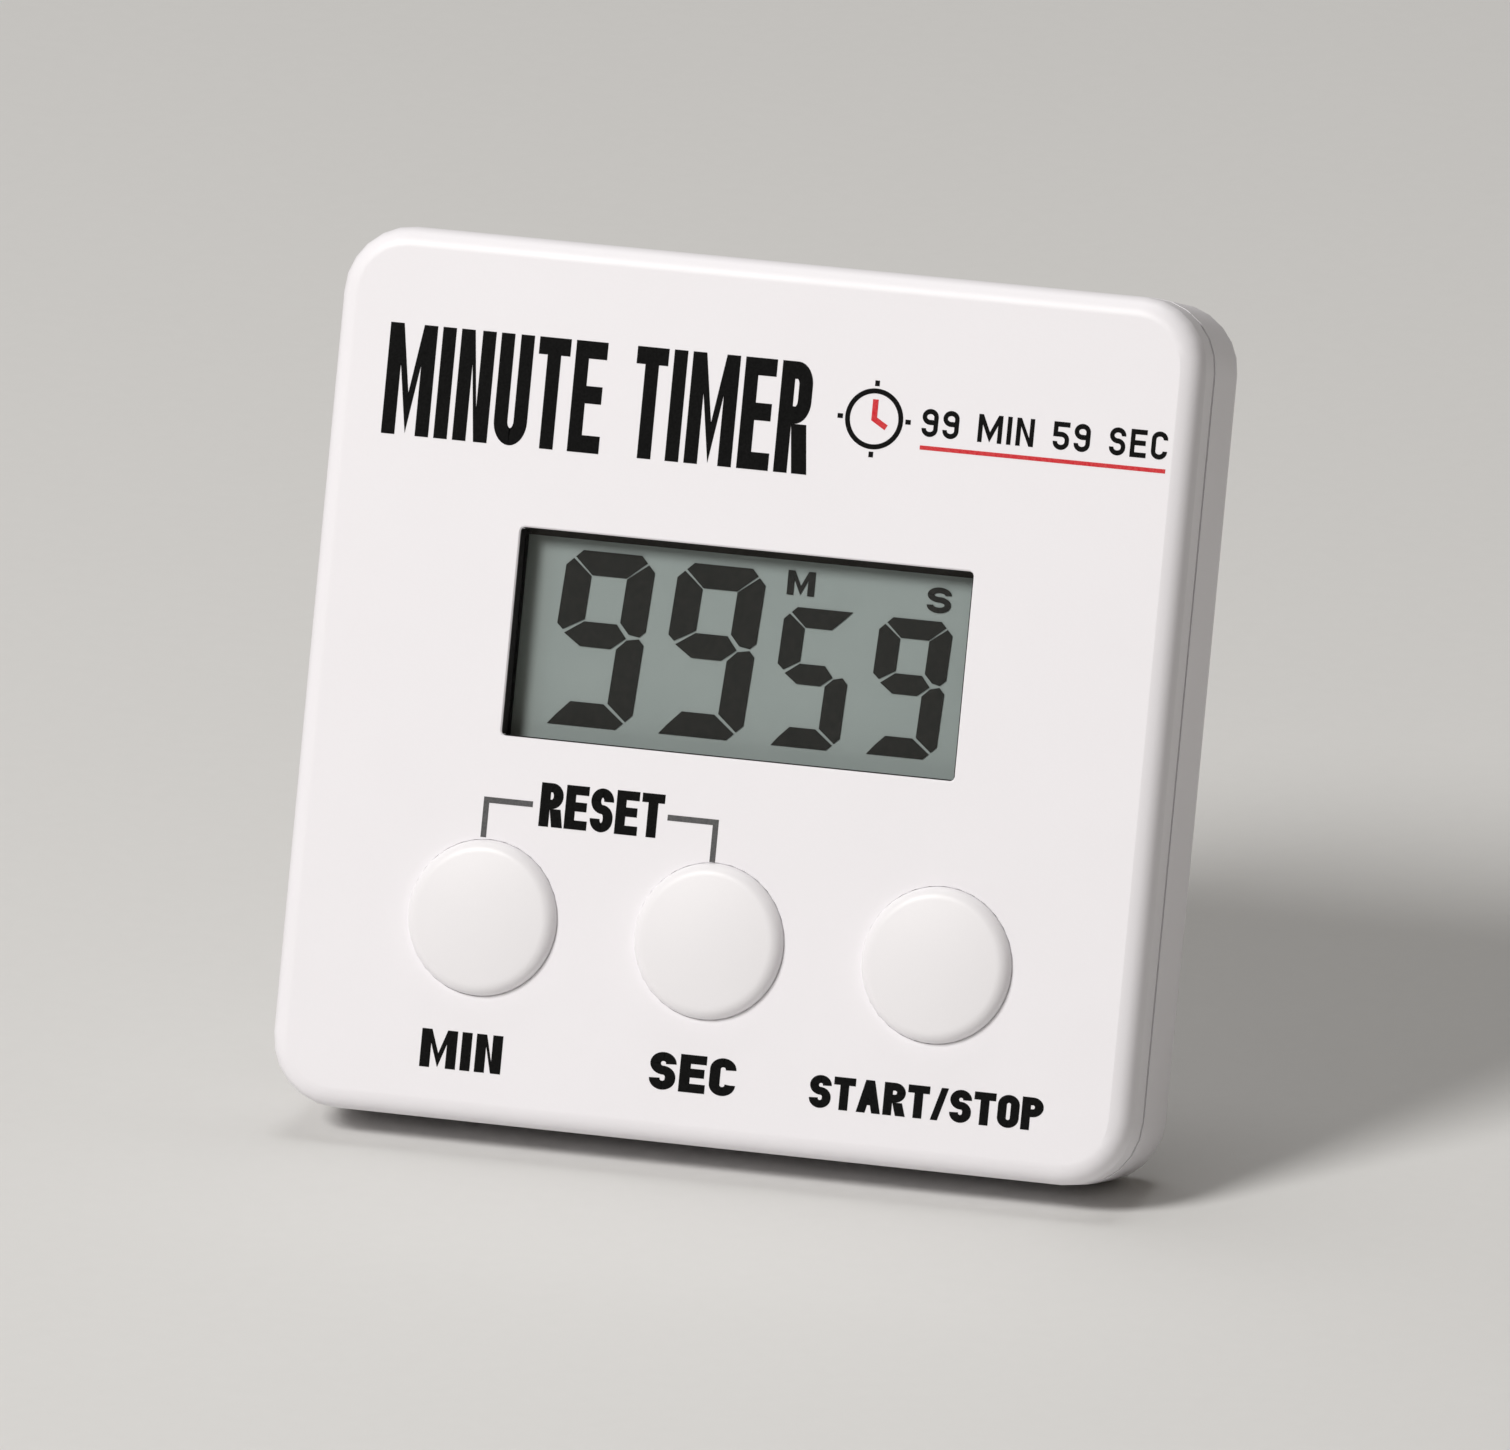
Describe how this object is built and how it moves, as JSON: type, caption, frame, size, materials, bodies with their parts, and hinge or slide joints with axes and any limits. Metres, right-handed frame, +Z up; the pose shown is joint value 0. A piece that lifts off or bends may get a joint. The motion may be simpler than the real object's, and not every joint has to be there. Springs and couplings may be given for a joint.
{
  "type": "lab timer",
  "caption": "Square pocket countdown timer with a display window over three round keys, leaning back on a fold-out leg, with a magnet and battery door behind.",
  "frame": {"origin": "centre of the footprint on the desk, with the leg open and the lowest point at z = 0", "axes": "+X to the right as one reads the display, -Y towards the reader, +Z up; the face leans back 17 degrees"},
  "size_m": [0.065, 0.0306, 0.063],
  "materials": {
    "case_white": "fine satin moulding texture",
    "key_white": "smooth satin",
    "clear_acrylic": "polished clear acrylic",
    "display_glass": "grey-green polarised glass",
    "reflector": "silvered film",
    "elastomer": "soft",
    "board_green": "solder mask",
    "epoxy_black": "gloss",
    "chip_tan": "matte",
    "silicone_grey": "matte",
    "carbon": "matte",
    "brass": "bare",
    "spring_bronze": "bare strip",
    "piezo_ceramic": "matte",
    "steel": "nickel plated",
    "ferrite": "ground ferrite",
    "wire_red": "satin insulation",
    "wire_black": "satin insulation"
  },
  "bodies": {
    "case": {"front_shell": "case_white", "rear_shell": "case_white", "window_lens": "clear_acrylic", "display_front_glass": "display_glass", "display_rear_glass": "display_glass", "display_reflector": "reflector", "elastomer_connector": "elastomer", "circuit_board": "board_green", "controller_blob": "epoxy_black", "boost_coil": "epoxy_black", "resistor_1": "epoxy_black", "driver_transistor": "epoxy_black", "capacitor_1": "chip_tan", "capacitor_2": "chip_tan", "keypad_mat": "silicone_grey", "dome_min": "silicone_grey", "dome_sec": "silicone_grey", "dome_start_stop": "silicone_grey", "buzzer_disc": "brass", "buzzer_ceramic": "piezo_ceramic", "contact_negative": "spring_bronze", "contact_positive": "spring_bronze", "crystal_can": "steel", "battery_cell": "steel", "stand_pin": "steel", "case_screw_1": "steel", "case_screw_2": "steel", "case_screw_3": "steel", "case_screw_4": "steel", "board_screw_1": "steel", "board_screw_2": "steel", "board_screw_3": "steel", "board_screw_4": "steel", "magnet": "ferrite", "buzzer_wire_red": "wire_red", "buzzer_wire_black": "wire_black"},
    "min_key": {"key_min": "key_white", "pill_min": "carbon"},
    "sec_key": {"key_sec": "key_white", "pill_sec": "carbon"},
    "start_stop_key": {"key_start_stop": "key_white", "pill_start_stop": "carbon"},
    "leg": {"stand_leg": "case_white"},
    "door": {"battery_door": "case_white"}
  },
  "joints": [
    {"name": "min_press", "type": "slide", "parent": "case", "child": "min_key", "axis": [0, 0.9563, -0.2924], "range_m": [0, 0.0008], "stiffness_N_per_m": 900, "springref_m": -0.0003, "deforming": ["dome_min"]},
    {"name": "sec_press", "type": "slide", "parent": "case", "child": "sec_key", "axis": [0, 0.9563, -0.2924], "range_m": [0, 0.0008], "stiffness_N_per_m": 900, "springref_m": -0.0003, "deforming": ["dome_sec"]},
    {"name": "start_stop_press", "type": "slide", "parent": "case", "child": "start_stop_key", "axis": [0, 0.9563, -0.2924], "range_m": [0, 0.0008], "stiffness_N_per_m": 900, "springref_m": -0.0003, "deforming": ["dome_start_stop"]},
    {"name": "leg_fold", "type": "hinge", "parent": "case", "child": "leg", "pos_m": [0, 0.00528, 0.03699], "axis": [-1, 0, 0], "range_deg": [0, 30.2]},
    {"name": "door_turn", "type": "hinge", "parent": "case", "child": "door", "pos_m": [-0.0175, 0.01064, 0.04936], "axis": [0, 0.9563, -0.2924], "range_deg": [0, 45]}
  ]
}
